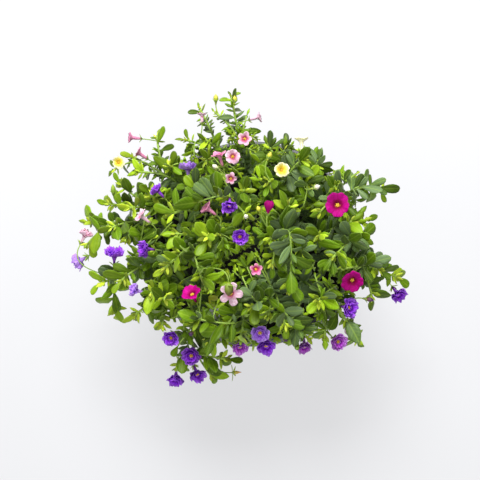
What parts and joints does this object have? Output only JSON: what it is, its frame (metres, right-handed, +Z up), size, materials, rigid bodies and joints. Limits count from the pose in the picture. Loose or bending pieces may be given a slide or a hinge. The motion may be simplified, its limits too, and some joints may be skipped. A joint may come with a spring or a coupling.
{
  "type": "potted calibrachoa",
  "caption": "Mixed-colour calibrachoa with leafy arching and trailing sprays and small trumpet blooms, standing in peat in a tapered plastic pot.",
  "frame": {"origin": "middle of the pot's foot, on the surface that it stands on", "axes": "+Z up, -Y towards the side that the trailing spray hangs over, +X to the right seen from there"},
  "size_m": [0.3564, 0.2939, 0.2709],
  "materials": {
    "pot": "satin",
    "peat": "rough",
    "label": "satin",
    "foliage": "satin",
    "petals_magenta": "matte",
    "petals_pale_pink": "matte",
    "petals_pink": "matte",
    "petals_cream": "matte",
    "petals_violet": "matte",
    "petals_lilac": "matte",
    "petals_purple": "matte"
  },
  "bodies": {
    "root": {"pot": "pot", "peat": "peat", "plant_label": "label", "spray_back_tip": "foliage", "spray_back_left": "foliage", "spray_upper_left": "foliage", "spray_left_shoulder": "foliage", "spray_left": "foliage", "spray_left_low": "foliage", "spray_lower_left": "foliage", "spray_trailing": "foliage", "spray_front_left": "foliage", "spray_front_right": "foliage", "spray_lower_right": "foliage", "spray_right_low": "foliage", "spray_right": "foliage", "spray_upper_right": "foliage", "spray_top_right": "foliage", "spray_middle_left": "foliage", "spray_middle_back": "foliage", "spray_middle_right": "foliage", "bloom_magenta_right": "petals_magenta", "bloom_magenta_low": "petals_magenta", "bloom_magenta_left": "petals_magenta", "bloom_magenta_folded": "petals_magenta", "bloom_pale_front": "petals_pale_pink", "bloom_pink_small": "petals_pink", "bloom_pink_star": "petals_pale_pink", "bloom_pink_pair_far": "petals_pink", "bloom_pink_pair_near": "petals_pale_pink", "bloom_peach_star": "petals_pale_pink", "bloom_pink_side": "petals_pink", "bloom_pale_left": "petals_pale_pink", "bloom_coral": "petals_pink", "bloom_pink_upper_left": "petals_pink", "bloom_pale_top": "petals_pale_pink", "bloom_pale_tip": "petals_pale_pink", "bloom_pale_far_left": "petals_pale_pink", "bloom_cream_left": "petals_cream", "bloom_cream_right": "petals_cream", "bloom_cream_trumpet": "petals_cream", "bloom_violet_middle": "petals_violet", "bloom_violet_centre": "petals_violet", "bloom_violet_shoulder": "petals_violet", "bloom_violet_left": "petals_violet", "bloom_violet_left_near": "petals_violet", "bloom_violet_low_left": "petals_violet", "bloom_violet_low_right": "petals_violet", "bloom_violet_low_top": "petals_violet", "bloom_violet_shaded": "petals_violet", "bloom_violet_right": "petals_violet", "bloom_violet_far_right": "petals_violet", "bloom_violet_front": "petals_violet", "bloom_lilac_front": "petals_lilac", "bloom_lilac_upper": "petals_lilac", "bloom_lilac_far_left": "petals_lilac", "bloom_lilac_left": "petals_lilac", "bloom_purple_front": "petals_purple", "bloom_purple_nodding": "petals_purple", "bloom_purple_right": "petals_purple"}
  },
  "joints": []
}
